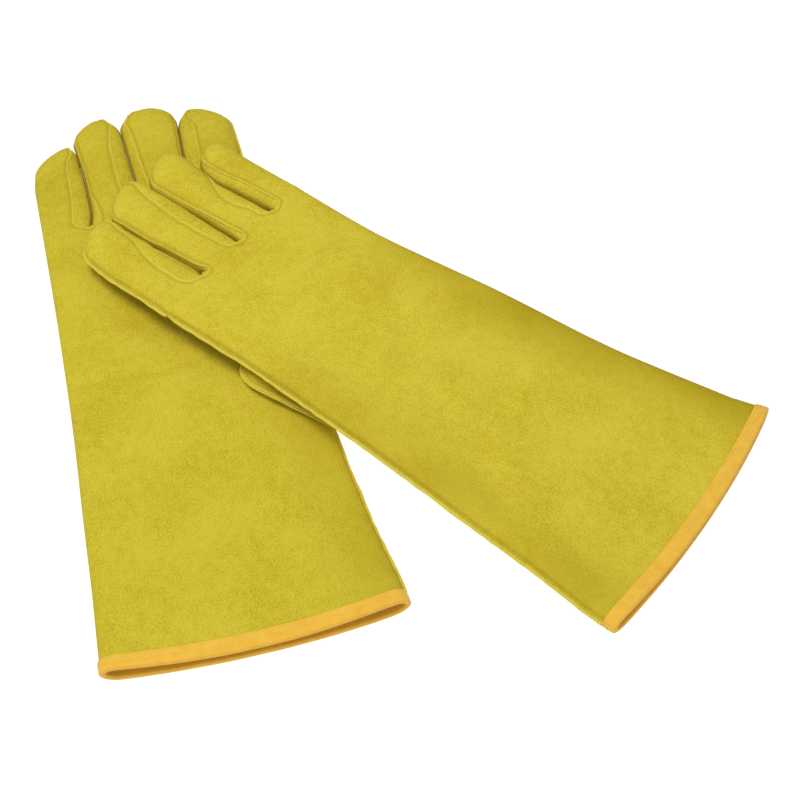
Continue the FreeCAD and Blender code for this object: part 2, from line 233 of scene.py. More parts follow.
def nearest(points, line):
    """Distance of each point from a line, and how far along the line that is."""
    distance = np.full(len(points), 1.0)
    place = np.zeros(len(points))
    run = run_length(line)
    for k in range(len(line) - 1):
        edge = line[k + 1] - line[k]
        t = np.clip((points - line[k]) @ edge / max(edge @ edge, 1e-15), 0, 1)
        d = np.linalg.norm(points - line[k] - t[:, None] * edge, axis=1)
        closer = d < distance
        distance[closer] = d[closer]
        place[closer] = (run[k] + t * (run[k + 1] - run[k]))[closer]
    return distance, place


# ---- meshes

def grid_faces(index):
    """Four-sided faces of a grid of point numbers."""
    a, b, c, d = index[:-1, :-1], index[:-1, 1:], index[1:, 1:], index[1:, :-1]
    return np.stack((a, b, c, d), -1).reshape(-1, 4)


def face_normals(points, faces):
    p = points[faces]
    return np.cross(p[:, 2] - p[:, 0], p[:, 3] - p[:, 1])


def vertex_normals(points, faces):
    n = np.zeros_like(points)
    per_face = face_normals(points, faces)
    for k in range(4):
        np.add.at(n, faces[:, k], per_face)
    return unit(n)


def facing(points, faces, towards):
    """The faces, turned over if they mostly face away from the directions given at the points."""
    if np.sum(vertex_normals(points, faces) * towards) < 0:
        return faces[:, ::-1]
    return faces


def tube(points, away, ring=False):
    """Rows of points as a surface that closes on itself across, and as a ring also along. It faces the
    directions given at the points, and comes as points, faces and normals."""
    index = np.arange(points.size // 3).reshape(points.shape[:2])
    index = np.concatenate((index, index[:, :1]), axis=1)
    if ring:
        index = np.concatenate((index, index[:1]))
    flat = points.reshape(-1, 3)
    faces = facing(flat, grid_faces(index), away.reshape(-1, 3))
    return flat, faces, vertex_normals(flat, faces)


def open_edges(faces):
    """Directed edges that only one face has."""
    edges = np.stack((faces, np.roll(faces, -1, axis=1)), -1).reshape(-1, 2)
    number = edges @ (faces.max() + 1, 1)
    return edges[~np.isin(number, edges @ (1, faces.max() + 1))]


def end_caps(points, columns, before, after):
    """Faces across the two ends of a tube, turned the ways given."""
    caps = []
    for first, towards in ((0, before), (len(points) - columns, after)):
        pairs = [(k, k + 1, columns - k - 2, columns - k - 1) for k in range(columns // 2 - 1)]
        ends = np.array(pairs) + first
        caps.append(ends if face_normals(points, ends).sum(axis=0) @ towards > 0 else ends[:, ::-1])
    return np.concatenate(caps)


def placed(name, data):
    obj = bpy.data.objects.new(name, data)
    bpy.context.scene.collection.objects.link(obj)
    return obj


def add_mesh(name, points, faces, normals, attributes, material):
    """A mesh object with its own shading normals, one for each corner of each face."""
    mesh = bpy.data.meshes.new(name)
    mesh.from_pydata(points.tolist(), [], faces.tolist())
    for key, value in attributes.items():
        kind = "FLOAT_VECTOR" if value.ndim > 1 else "FLOAT"
        layer = mesh.attributes.new(key, kind, "POINT")
        layer.data.foreach_set("vector" if value.ndim > 1 else "value", value.astype(np.float32).ravel())
    mesh.polygons.foreach_set("use_smooth", np.ones(len(faces), bool))
    mesh.normals_split_custom_set(normals.reshape(-1, 3).tolist())
    mesh.materials.append(material)
    return placed(name, mesh)


def shell(name, points, normals, faces, thickness, attributes, material):
    """A closed solid: the surface given, a second one that far inside it, and rims between them."""
    used, top = np.unique(faces, return_inverse=True)
    top, count = top.reshape(-1, 4), len(used)
    outer, outward = points[used], normals[used]
    rim = open_edges(top)
    sides = np.stack((rim[:, 1], rim[:, 0], rim[:, 0] + count, rim[:, 1] + count), -1)
    both = np.concatenate((outer, outer - outward * thickness))
    faces = np.concatenate((top, top[:, ::-1] + count, sides))
    side_normals = unit(face_normals(both, sides))[:, None].repeat(4, 1)
    corner = np.concatenate((outward[top], -outward[top[:, ::-1]], side_normals))
    doubled = {key: np.concatenate((value[used], value[used])) for key, value in attributes.items()}
    return add_mesh(name, both, faces, corner, doubled, material)


def pierced(points, faces, centre, axis, radius):
    """The surface with a round hole: faces inside it are left out and their rim is drawn onto the circle."""
    out = points - centre
    out = out - np.outer(out @ axis, axis)
    far = np.linalg.norm(out, axis=1)
    inside = far < radius
    kept = faces[~inside[faces].all(axis=1)]
    moved = points.copy()
    pulled = np.intersect1d(np.flatnonzero(inside), kept)
    moved[pulled] += out[pulled] * (radius / np.maximum(far[pulled], 1e-9) - 1)[:, None]
    return moved, kept


# ---- the CAD frame's measures

class Form:
    """Side to side and underside to top of one tube of hide, along u."""

    def __init__(self, stations, rows):
        self.stations = np.array(stations)
        self.rows = np.array(rows).T

    def at(self, u):
        return [smooth(self.stations, row, u, k > 1) for k, row in enumerate(self.rows)]


class Glove:
    """One glove's coordinates and measures, read from its cuff joint and its CAD hide."""

    def __init__(self, side):
        hinge = JOINTS[side + "_cuff_turn"]
        axis = np.array(hinge["axis"], float)
        self.side = side
        self.along = np.cross(axis, UP)
        self.across = -axis if side == "left" else axis
        self.origin = np.array(hinge["pos_m"], float) * (1, 1, 0) - self.along * FOLD_U
        names = ["cuff"] * 3 + ["hand"] * 3
        self.hand = self.measure(names, CUFF_STATIONS + (FOLD_U,) + HAND_STATIONS + (KNUCKLE_U,))
        self.tip, self.finger = {}, {}
        for name in FINGERS:
            self.tip[name] = (self.corners(f"{side}_{name}_back") @ self.along).max()
            stations = FINGER_STATIONS + (self.tip[name] - LAST_STATION,)
            self.finger[name] = self.measure([name] * len(stations), stations)
        self.bounds = [self.hand.at(KNUCKLE_U)[0]]
        for low, high in zip(FINGERS, FINGERS[1:]):
            self.bounds.append((self.finger[low].at(KNUCKLE_U)[1] + self.finger[high].at(KNUCKLE_U)[0]) / 2)
        self.bounds.append(self.hand.at(KNUCKLE_U)[1] - table(DRAWN_IN[side], KNUCKLE_U))

    def corners(self, node):
        return np.array([v.co for v in frame["nodes"][node].data.vertices], float) - self.origin

    def measure(self, names, stations):
        rows = []
        for name, u in zip(names, stations):
            sides = []
            for half in ("back", "palm"):
                corners = self.corners(f"{self.side}_{name}_{half}")
                sides.append(corners[np.abs(corners @ self.along - u) < SLICE])
            v = sides[0] @ self.across
            rows.append((v.min(), v.max(), sides[1][:, 2].min(), sides[0][:, 2].max()))
        return Form(stations, rows)

    def world(self, u, v, z):
        u, v, z = np.broadcast_arrays(u, v, z)
        return self.origin + u[..., None] * self.along + v[..., None] * self.across + z[..., None] * UP

    def local(self, points):
        return (points - self.origin) @ self.along, (points - self.origin) @ self.across


# ---- hide panels

def table(values, u):
    """A smooth curve through a table in millimetres, level beyond its ends."""
    stations, heights = np.array(list(values)) * MM, np.array(list(values.values())) * MM
    if len(stations) == 1:
        return heights[0] + 0 * u
    return smooth(stations, heights, u, True)


def slit(glove, index, side, u, up):
    """Width of the opening beside a finger."""
    gap = index - 1 if side < 0 else index
    if up == PALM:
        return CLOSED * MM + 0 * u
    closing = smoothstep(SLIT_END[0] * MM, SLIT_END[1] * MM, u)
    return MM * (SLITS[glove.side][gap] + (CLOSED - SLITS[glove.side][gap]) * closing)


def hand_grid(glove, up):
    """u, v and z of the cuff and hand, from the cuff edge to the knuckle line."""
    last = KNUCKLE_U - KNUCKLE_BLEND
    u = np.concatenate((np.arange(0, last, ROW), np.linspace(last, KNUCKLE_U, KNUCKLE_ROWS)))
    low, high, under, top = glove.hand.at(u)
    high = high - table(DRAWN_IN[glove.side], u)
    share = (np.array(glove.bounds) - glove.bounds[0]) / (glove.bounds[-1] - glove.bounds[0])
    across = [share[k] + (share[k + 1] - share[k]) * SPREAD[:-1] for k in range(len(FINGERS))]
    across = np.concatenate(across + [[1.0]])
    width = (high - low)[:, None]
    v = low[:, None] + width * across
    middle, crown = (under + top) / 2, (top - under) / 2
    roll = quarter(across * width / SIDE_ROLL) * quarter((1 - across) * width / SIDE_ROLL)
    rim = WELT_HALF * across
    rise = rim + (crown[:, None] - rim) * roll
    near = smoothstep(last, KNUCKLE_U, u)[:, None]
    for bound in glove.bounds[1:-1]:
        rise = rise - CROTCH_DIP * near * np.exp(-((v - bound) / CROTCH_DIP_WIDTH) ** 2)
    z = middle[:, None] + up * rise
    if up == PALM:
        sunk = np.sin(np.pi * across) * (1 - smoothstep(0, MOUTH_REACH, u))[:, None]
        z = z + MOUTH_CLOSED[glove.side] * MM * sunk
    u = u[:, None] - CUFF_BOW * (1 - (2 * across - 1) ** 2) * np.clip(1 - u[:, None] / BOW_REACH, 0, 1) ** 2
    return u, v, z, rise


def cad_edge(glove, index, side, u):
    """A finger's edge as the CAD has it, moved out over half its gap."""
    edge = glove.finger[FINGERS[index]].at(u)[0 if side < 0 else 1]
    gap = CAD_GAP[0] + (CAD_GAP[1] - CAD_GAP[0]) * np.clip((u - KNUCKLE_U) / CAD_GAP_LENGTH, 0, 1)
    return edge + side * gap / 2


def side_line(glove, index, side, u, up):
    """A finger's side: halfway to its neighbour, less half the slit between them."""
    edge = cad_edge(glove, index, side, u)
    other = index + side
    if not 0 <= other < len(FINGERS):
        return edge - (table(DRAWN_IN[glove.side], u) if side > 0 else 0)
    last = min(glove.tip[FINGERS[index]], glove.tip[FINGERS[other]]) - LAST_STATION
    share = 1 - smoothstep(last, last + PARTING, u)
    edge = edge + (cad_edge(glove, other, -side, u) - edge) / 2 * share
    return edge - side * slit(glove, index, side, u, up) / 2


def finger_rows(glove, name):
    """u of each row of a finger past the knuckle line, and the turn of its tip there."""
    length = TIPS[glove.side][name][0] * MM
    full = glove.tip[name] - length
    start = np.array(CROTCH_ROWS) * MM + KNUCKLE_U
    count = int(round((full - start[-1]) / ROW))
    straight = np.concatenate((start, np.linspace(start[-1], full, count + 1)[1:]))
    turn = np.radians(TIP_TURNS)
    u = np.concatenate((straight, full + length * np.sin(turn)))
    return u, np.concatenate((0 * straight, turn))


def finger_tube(glove, index, up):
    """The round outside of a finger: u, its two sides, its middle height, its crown, and its tip's turn.
    The slits only part the upper halves, and the palms below them touch."""
    name = FINGERS[index]
    u, turn = finger_rows(glove, name)
    low, high = side_line(glove, index, -1, u, up), side_line(glove, index, 1, u, up)
    under, top = glove.finger[name].at(u)[2:]
    _, pointed, lean = TIPS[glove.side][name]
    centre = (low + high) / 2 + lean * MM * np.sin(turn) ** LEAN_POWER
    half = (high - low) / 2 * np.cos(turn) ** pointed
    crown = (top - under) / 2 * np.cos(turn) ** CROWN_POWER
    return u, centre - half, centre + half, (under + top) / 2, crown, turn


def finger_grid(glove, index, up, knuckle_rise):
    """u, v and z of one finger's back or palm, between its two seams."""
    u, low, high, middle, crown, turn = finger_tube(glove, index, up)
    seams = BACK_SEAMS[glove.side][FINGERS[index]] if up == BACK else (
        OUTER if index == 0 else PALM_SEAM, OUTER if index == len(FINGERS) - 1 else PALM_SEAM)
    rims = []
    for side, edge, bound, seam in ((-1, low, glove.bounds[index], seams[0]),
                                    (1, high, glove.bounds[index + 1], seams[1])):
        inset = np.minimum(table(seam, u) * np.cos(turn) ** SEAM_POWER, SEAM_LIMIT * (high - low))
        opened = quarter((u - KNUCKLE_U) / np.maximum(SEAM_START[0] * inset, SEAM_START[1]))
        rims.append(bound + (edge - side * inset - bound) * opened)
    v = rims[0][:, None] + (rims[1] - rims[0])[:, None] * SPREAD
    across = np.clip((2 * v - (low + high)[:, None]) / (high - low)[:, None], -1, 1)
    rim = WELT_HALF * np.clip(across, 0, 1) if index == len(FINGERS) - 1 else 0
    rise = rim * np.cos(turn)[:, None] + (crown[:, None] - rim) * np.sqrt(1 - np.abs(across) ** FINGER_ROUND)
    share = 1 - smoothstep(KNUCKLE_U, KNUCKLE_U + KNUCKLE_BLEND, u)[:, None]
    rise = rise + (knuckle_rise - rise) * share
    return u[:, None] + 0 * v, v, middle[:, None] + up * rise


class Panel:
    """The outside of a glove's back or palm: the hand and its four fingers, in one surface."""

    def __init__(self, glove, up):
        self.glove, self.up = glove, up
        *hand, rise = hand_grid(glove, up)
        feet = [slice(k * COLUMNS, (k + 1) * COLUMNS + 1) for k in range(len(FINGERS))]
        grids = [hand] + [finger_grid(glove, k, up, rise[-1, foot]) for k, foot in enumerate(feet)]
        self.points = np.concatenate([glove.world(*grid).reshape(-1, 3) for grid in grids])
        everything = np.split(np.arange(len(self.points)), np.cumsum([grid[1].size for grid in grids]))
        self.index = [own.reshape(grid[1].shape) for own, grid in zip(everything, grids)]
        for k, foot in enumerate(feet, 1):
            self.index[k] = np.concatenate((self.index[0][-1:, foot], self.index[k]))
        self.faces = np.concatenate([grid_faces(index) for index in self.index])
        if np.sum(face_normals(self.points, self.faces) @ UP) * up < 0:
            self.faces = self.faces[:, ::-1]
        self.u, self.v = glove.local(self.points)
        self.shape()

    def crotch_line(self, gap):
        """Point numbers of the rim from one fingertip down to the crotch and up the next finger."""
        down, rise = self.index[gap + 1][:, -1], self.index[gap + 2][:, 0]
        return np.concatenate((down[::-1], rise[1:]))

    def welt_line(self):
        return np.concatenate((self.index[0][:-1, -1], self.index[-1][:, -1]))

    def fold_line(self):
        return np.concatenate((self.index[0][:-1, 0], self.index[1][:, 0]))

    def shape(self):
        """Adds the relief of seams, creases and slack hide, and sets the shading normals."""
        normals = vertex_normals(self.points, self.faces)
        self.seam = np.full(len(self.points), 1.0)
        lift = np.zeros(len(self.points))
        near = self.u > KNUCKLE_U - SEAM_REACH
        for gap in range(len(FINGERS) - 1):
            line = self.points[self.crotch_line(gap)]
            distance, run = nearest(self.points[near], line)
            shown = np.interp(run, run_length(line), self.seam_shown(gap))
            relief = seam_relief(distance, run, self.up * 10 + gap, GUSSET_RIDGES, GUSSET_PUCKERS)
            lift[near] += shown * relief
            self.seam[near] = np.minimum(self.seam[near], distance)
        distance, run = nearest(self.points, self.points[self.welt_line()])
        lift += seam_relief(distance, run, self.up * 10 + 5, WELT_RIDGES, WELT_PUCKERS)
        self.seam = np.minimum(self.seam, distance)
        fold = self.fold_line()
        held = np.minimum(self.seam, nearest(self.points, self.points[fold])[0])
        lift += smoothstep(0, HELD_REACH, held) * slack_relief(self.glove, self.u, self.v, self.up)
        lift *= smoothstep(*TIP_FADE, self.tip_distance())
        self.points = self.points + normals * lift[:, None]
        self.points[:, 2] = np.maximum(self.points[:, 2], GROUND_GAP)
        self.normals = vertex_normals(self.points, self.faces)
        self.normals[fold] = unit(self.normals[fold] * (1, 1, 0))
        self.attributes = {"seam": self.seam, "cut": np.stack((self.u, self.v, 0 * self.u), -1)}
        # Painted shade along the gauntlet's sides, where the hide rolls down
        self.attributes["side_shade"] = self.painted_side_shade()

    def painted_side_shade(self):
        """Painted shade along the gauntlet's sides, where the hide rolls down and is shaded, broken into
        patches.
        """
        low, high = self.glove.hand.at(np.minimum(self.u, KNUCKLE_U))[:2]
        side_shade = 0 * self.u
        for strength, far in zip(SIDE_SHADE[self.glove.side], (self.v - low, high - self.v)):
            side_shade += strength * np.exp(-np.clip(far / SIDE_SHADE_REACH, 0, None) ** 2)
        patches = PATCHES[0] + PATCHES[1] * noise(self.u / PATCH_LENGTH, self.v / PATCH_WIDTH + 9, PATCH_SEED)
        return side_shade * patches * (1 - smoothstep(*SIDE_SHADE_END, self.u))

    def seam_shown(self, gap):
        """1 along a crotch line where the seam lies on top of a finger, 0 where it is rolled under."""
        if self.up == PALM:
            return np.full(len(self.crotch_line(gap)), PALM_SEAM_SHOWN)
        shown = []
        for k, seam, side in ((gap, 1, -1), (gap + 1, 0, 1)):
            u = self.u[self.index[k + 1][:, 0]]
            inset = table(BACK_SEAMS[self.glove.side][FINGERS[k]][seam], u)
            near = 1 - smoothstep(*CROTCH_SEAM, u)
            shown.append(np.maximum(smoothstep(*SHOWN_INSET, inset), near)[::side])
        return np.concatenate((shown[0], shown[1][1:]))

    def tip_distance(self):
        reach = np.full(len(self.points), 1.0)
        for k, name in enumerate(FINGERS):
            own = self.index[k + 1]
            reach[own] = self.glove.tip[name] - self.u[own]
        return reach


# Relief beside the gussets' seams and beside the welt, in millimetres. Ridges and grooves that run
# along the seam are (distance, width, height), puckers across it are (wavelength, reach, height).
GUSSET_RIDGES, GUSSET_PUCKERS = ((0, 1.1, 0.3), (2.4, 1.3, -0.3)), ((4.6, 3, 0.42), (2.1, 3, 0.21))
WELT_RIDGES, WELT_PUCKERS = ((2.4, 1.5, -0.15),), ((4.5, 5, 0.28),)


def seam_relief(distance, run, seed, ridges, puckers):
    lift = 0 * run
    for place, width, height in ridges:
        lift += height * MM * np.exp(-((distance - place * MM) / (width * MM)) ** 2)
    for k, (wave, reach, height) in enumerate(puckers):
        lift += height * MM * wander(run, wave * MM, seed + 3 * k) * np.exp(-distance / (reach * MM))
    return lift


# Soft creases of each back, as lines of (u, v), with their width and depth
CREASES = {
    ("left", BACK): (
        (((177, -68), (178, -40), (176, -15), (177, 4)), 4.0, 1.2),
        (((140, 50), (128, 30), (120, 5)), 9.0, 0.9),
        (((60, -50), (75, -20), (70, 20)), 12.0, 1.0),
    ),
    ("right", BACK): (
        (((248, -42), (246, 0), (241, 38)), 5.0, 1.2),
        (((183, -35), (181, 5)), 6.0, 1.0),
        (((128, -53), (120, -14), (115, 23)), 7.0, 1.1),
        (((145, 23), (116, 32), (84, 53)), 8.0, 1.1),
        (((361, 34), (344, 36), (322, 39)), 3.5, 0.9),
    ),
}
# Painted shade on the gauntlet along its little finger's side and its thumb side, how far in it reaches,
# where along u it fades out, and its patches: their mean strength and how much it varies
SIDE_SHADE = {"left": (0.0, 0.5), "right": (0.95, 0.6)}
SIDE_SHADE_REACH, SIDE_SHADE_END = 24 * MM, (150 * MM, 290 * MM)
PATCHES = (0.75, 0.35)
PATCH_LENGTH, PATCH_WIDTH, PATCH_SEED = 28 * MM, 20 * MM, 17

# Relief of a gusset's seam: shown on the palm, always shown near the crotch, and shown elsewhere
# where the seam's inset is at least this
PALM_SEAM_SHOWN = 0.2
CROTCH_SEAM = (KNUCKLE_U + 2 * MM, KNUCKLE_U + 8 * MM)
SHOWN_INSET = (1.2 * MM, 4 * MM)

# How much and how broadly the hide lies out of its mean shape: (wavelength, height)
SLACK = ((62, 1.0), (31, 0.45), (13, 0.12))
SLACK_SEED = {"left": 3, "right": 7}
CREASE_SHOULDER = (1.9, 0.4)    # beside a crease: its place in widths, its height as a share of the depth


def slack_relief(glove, u, v, up):
    lift = 0 * u
    seed = SLACK_SEED[glove.side] + up
    for k, (wave, height) in enumerate(SLACK):
        lift += height * MM * noise(u / (wave * MM) + 5, v / (wave * MM) + 5, seed + 11 * k)
    flat = np.stack((u, v), -1)
    place, height = CREASE_SHOULDER
    for line, width, depth in CREASES.get((glove.side, up), ()):
        distance = nearest(flat, np.array(line, float) * MM)[0] / (width * MM)
        lift -= depth * MM * np.exp(-distance ** 2)
        lift += height * depth * MM * np.exp(-(distance - place) ** 2)
    return lift


def settle(obj, glove, part, slot, *nodes):
    """Fixes a piece to its part of the glove, or to the bend between the glove and that part."""
    if part in BENDS:
        start, end = (tuple(glove.world(u, 0, 0)) for u in BENDS[part])
        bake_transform(obj, f"{glove.side}_glove", f"{glove.side}_{part.split()[0]}", start=start, end=end)
    else:
        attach(obj, f"{glove.side}_{part}")
    if nodes:
        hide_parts(*(f"{glove.side}_{node}" for node in nodes))


def has_free_fingers(glove):
    return f"{glove.side}_index" in frame["bodies"]


def panel_pieces(panel, half, material):
    """The panel as solid hide. Where the fingers lift it is divided just past the crotches."""
    glove, free = panel.glove, has_free_fingers(panel.glove)
    points, faces = panel.points, panel.faces
    if panel.up == PALM:
        points, faces = with_thumb_hole(glove, points, faces)
    loose = free & (panel.u[faces].min(axis=1) >= KNUCKLE_U + FINGER_BEND[0] - HAIR)
    hides = [(half, "cuff bend", ~loose, ("hand", "cuff") if free else ("hand", "cuff") + FINGERS)]
    if free:
        for k, name in enumerate(FINGERS, 1):
            own = loose & np.isin(faces, panel.index[k]).all(axis=1)
            hides.append((f"{name}_{half}", name + " bend", own, (name,)))
    for name, part, own, nodes in hides:
        obj = shell(f"{glove.side}_{name}_hide", points, panel.normals, faces[own], LEATHER,
                    panel.attributes, material)
        settle(obj, glove, part, "suede", *(f"{node}_{half}" for node in nodes))


# ---- gussets and welts

# Steps from a seam to the gusset's widest line, above and below it
UPPER_STEPS = np.linspace(0, 1, 8)
LOWER_STEPS = np.linspace(0.75, 0, 4)
# A gusset bulges fully where it is at least as wide as the second width, and least at the first
GUSSET_WIDTHS, LEAST_BULGE = (2 * MM, 9 * MM), 0.25
GUSSET_DEEP = 6 * MM         # how far from its widest line it counts as deep, and so gets painted shade
GUSSET_SEAM = 6 * MM         # its distance from a seam, for the hide's material


def widest_line(glove, gap):
    """The line a gusset reaches halfway down: along one finger's side, round the crotch, up the next."""
    parts = []
    for k, own in ((gap, 2), (gap + 1, 1)):
        finger = finger_tube(glove, k, BACK)
        u, v, middle = finger[0], finger[own], finger[3]
        u = np.concatenate(((KNUCKLE_U,), u))
        v = np.concatenate(((glove.bounds[gap + 1],), v))
        middle = np.concatenate((middle[:1], middle))
        u = u + WEB * (1 - smoothstep(KNUCKLE_U, KNUCKLE_U + 3 * WEB, u))
        parts.append(glove.world(u, v, middle))
    return np.concatenate((parts[0][::-1], parts[1][1:]))


def level_side(glove, line):
    """The level direction square to a line, at each of its points."""
    step = np.gradient(np.stack(glove.local(line), -1), axis=0)
    return unit(step[:, :1] * glove.across - step[:, 1:] * glove.along)


def gusset_surface(back, palm, gap):
    """The strip between two fingers: it swells from the back's seam to its widest line and in again."""
    glove, wide = back.glove, widest_line(back.glove, gap)
    rows = []
    for panel, steps in ((back, UPPER_STEPS), (palm, LOWER_STEPS)):
        seam = panel.crotch_line(gap)
        start = panel.points[seam] - panel.normals[seam] * GUSSET_DEPTH
        path = wide - start
        bulge = smoothstep(*GUSSET_WIDTHS, np.linalg.norm(path[:, :2], axis=1))[:, None, None]
        bulge = LEAST_BULGE + (1 - LEAST_BULGE) * bulge
        t = steps[:, None]
        sideways = t + (np.sin(t * np.pi / 2) - t) * bulge
        down = t + (1 - np.cos(t * np.pi / 2) - t) * bulge
        rows.append(start[:, None] + path[:, None] * np.where((1, 1, 0), sideways, down))
    points = np.concatenate(rows, axis=1)
    index = np.arange(points.size // 3).reshape(points.shape[:2])
    half = (len(UPPER_STEPS) - 1) / 2
    loose = np.clip(1 - np.abs(np.arange(points.shape[1]) - half) / half, 0, 1)
    run = run_length(back.points[back.crotch_line(gap)])
    pucker = wander(run, GUSSET_PUCKER[0], 40 + gap) * GUSSET_PUCKER[1]
    flat = (points + UP * (pucker[:, None] * loose)[..., None]).reshape(-1, 3)
    faces = facing(flat, grid_faces(index), -level_side(glove, wide).repeat(points.shape[1], axis=0))
    u, v = glove.local(flat)
    # Painted shade deep in the gap between two fingers, strongest at the gusset's widest line
    deep = smoothstep(GUSSET_DEEP, 0, np.linalg.norm(points - wide[:, None], axis=2)).ravel()
    cut = np.stack((u, v, flat[:, 2]), -1)
    attributes = {"seam": np.full(len(flat), GUSSET_SEAM), "deep": deep, "cut": cut}
    return flat, vertex_normals(flat, faces), faces, index, attributes


def gussets(back, palm, material):
    glove, free = back.glove, has_free_fingers(back.glove)
    strips = {name: [] for name in FINGERS}
    for gap, (low, high) in enumerate(zip(FINGERS, FINGERS[1:])):
        points, normals, faces, index, attributes = gusset_surface(back, palm, gap)
        if not free:
            name = f"{low}_{high}"
            obj = shell(f"{glove.side}_{name}_gusset", points, normals, faces, LEATHER, attributes, material)
            settle(obj, glove, "glove", "suede", name + "_forchette")
        crotch = len(back.index[gap + 1]) - 1
        for name, own in ((low, index[:crotch + 1]), (high, index[crotch:])):
            strips[name].append((points, normals, faces[np.isin(faces, own).all(axis=1)], attributes))
    for name, found in strips.items():
        if free:
            obj = shell(f"{glove.side}_{name}_gusset", *joined(found, LEATHER), material)
            settle(obj, glove, name + " bend", "suede", name + "_forchette")


def joined(surfaces, thickness):
    """Several surfaces of one thickness as one."""
    points, normals, faces, attributes = zip(*surfaces)
    starts = np.cumsum([0] + [len(p) for p in points[:-1]])
    faces = np.concatenate([own + start for own, start in zip(faces, starts)])
    attributes = {key: np.concatenate([a[key] for a in attributes]) for key in attributes[0]}
    return np.concatenate(points), np.concatenate(normals), faces, thickness, attributes


# Section of a welt: (outward from the rims, up), in millimetres, round its outer edge. It varies in
# width along the seam, sways up and down, and tapers off at the far end.
WELT_SECTION = ((-1.6, 0.55), (0.2, 0.6), (1.1, 0.52), (1.5, 0.25), (1.55, 0.0), (1.5, -0.25), (1.1, -0.52),
                (0.2, -0.6), (-1.6, -0.55))
WELT_VARIES, WELT_WAVE = 0.14, 6 * MM
SWAY, SWAY_WAVE = 0.15 * MM, 9 * MM
WELT_TAPER, WELT_END = 7 * MM, 0.1
WELT_SEAM = 0.6 * MM         # where its surface counts as lying, beside a seam
WELT_ENDS = (5 * MM, 3 * MM)    # of the side welt: from the mouth, and back from the index fingertip


def welt_solid(name, line, out, up, seed, closed, material):
    """The strip of hide that stands out of a seam, swept along it."""
    section = np.array(WELT_SECTION) * MM
    run = run_length(line)
    proud = 1 + WELT_VARIES * wander(run, WELT_WAVE, seed)
    if not closed:
        proud = proud * (WELT_END + (1 - WELT_END) * smoothstep(0, WELT_TAPER, run[-1] - run))
    sway = wander(run, SWAY_WAVE, seed + 1) * SWAY
    outward = section[:, 0] * np.where(section[:, 0] > 0, proud[:, None], 1)
    points = line[:, None] + outward[..., None] * out[:, None]
    points = points + (section[:, 1] + sway[:, None])[..., None] * up
    flat, faces, normals = tube(points, points - line[:, None], closed)
    corner = normals[faces]
    if not closed:
        ends = end_caps(flat, len(section), line[0] - line[1], line[-1] - line[-2])
        faces = np.concatenate((faces, ends))
        corner = np.concatenate((corner, unit(face_normals(flat, ends))[:, None].repeat(4, 1)))
    cut = np.stack((run, 0 * run, 0 * run), -1).repeat(len(section), axis=0) + 0.3
    attributes = {"seam": np.full(len(flat), WELT_SEAM), "cut": cut}
    return add_mesh(name, flat, faces, corner, attributes, material)


def side_welt(back, palm, material):
    """The welt of the thumb-side seam. Where the fingers lift, the index finger has its own length."""
    glove, free = back.glove, has_free_fingers(back.glove)
    line = (back.points[back.welt_line()] + palm.points[palm.welt_line()]) / 2
    u, out = glove.local(line)[0], level_side(glove, line)
    kept = (u > WELT_ENDS[0]) & (u < glove.tip["index"] - WELT_ENDS[1])
    hand = kept & (u <= KNUCKLE_U + FINGER_BEND[0] + HAIR) if free else kept
    first = "hand_welt" if free else "side_welt"
    welts = [("seam", hand, 5 if free else 3, "cuff bend", (first, "cuff_welt"))]
    if free:
        finger = kept & (np.arange(len(u)) >= np.flatnonzero(hand)[-1])
        welts.append(("index_seam", finger, 9, "index bend", ("index_welt",)))
    for name, own, seed, part, nodes in welts:
        obj = welt_solid(f"{glove.side}_{name}_welt", line[own], out[own], UP, seed, False, material)
        settle(obj, glove, part, "suede", *nodes)


# ---- the cuff

def around(back, palm, part, rows, skip=1, last=-1):
    """Points and normals of closed rings: across the back, and back across the palm."""
    upper = back.index[part][rows, ::skip]
    lower = palm.index[part][rows, ::-skip][:, :last]
    return (np.concatenate((back.points[upper], palm.points[lower]), axis=1),
            np.concatenate((back.normals[upper], palm.normals[lower]), axis=1))


TAPE_OUT = 0.85 * MM         # height of the tape over the hide
TAPE_THICK = 0.7 * MM
TAPE_TURNS = (18, 40, 65, 90, 115, 140, 162)    # degrees round the edge
STITCH_ROW, STITCH_SHARE = 1, 0.3    # the row of the tape that they lie on, and how far past it
STITCH_PITCH = 3.3 * MM
STITCH_LENGTH = 2.3 * MM
STITCH_LIFT, STITCH_SINK = 0.06, 0.12    # its middle over the tape and its ends under that, in millimetres
STITCH_SECTION = ((0.27, 0.0), (0.2, 0.2), (0.0, 0.28), (-0.2, 0.2), (-0.27, 0.0), (0.0, -0.2))
STITCH_PROFILE = ((-0.5, 0.15), (-0.42, 0.75), (-0.2, 1.0), (0.2, 1.0), (0.42, 0.75), (0.5, 0.15))
TAPE_FLAT = 0.8              # how far the tape stands out round the edge, as a share of a full half round


def tape_surface(back, palm):
    """The outside of the tape: out along one side of the edge, over it, and in along the other."""
    points, normals = around(back, palm, 0, slice(TAPE_ROWS))
    ahead = unit(points[0] - points[2])
    mean = unit(normals.mean(axis=0))
    body = LEATHER + LINING
    radius = body / 2 + TAPE_OUT
    middle = points[0] - mean * body / 2
    layers = [points[k] + mean * TAPE_OUT for k in range(TAPE_ROWS - 1, -1, -1)]
    for turn in np.radians(TAPE_TURNS):
        layers.append(middle + mean * radius * math.cos(turn) + ahead * radius * TAPE_FLAT * math.sin(turn))
    layers += [points[k] - mean * (body + TAPE_OUT) for k in range(TAPE_ROWS)]
    return np.array(layers), mean


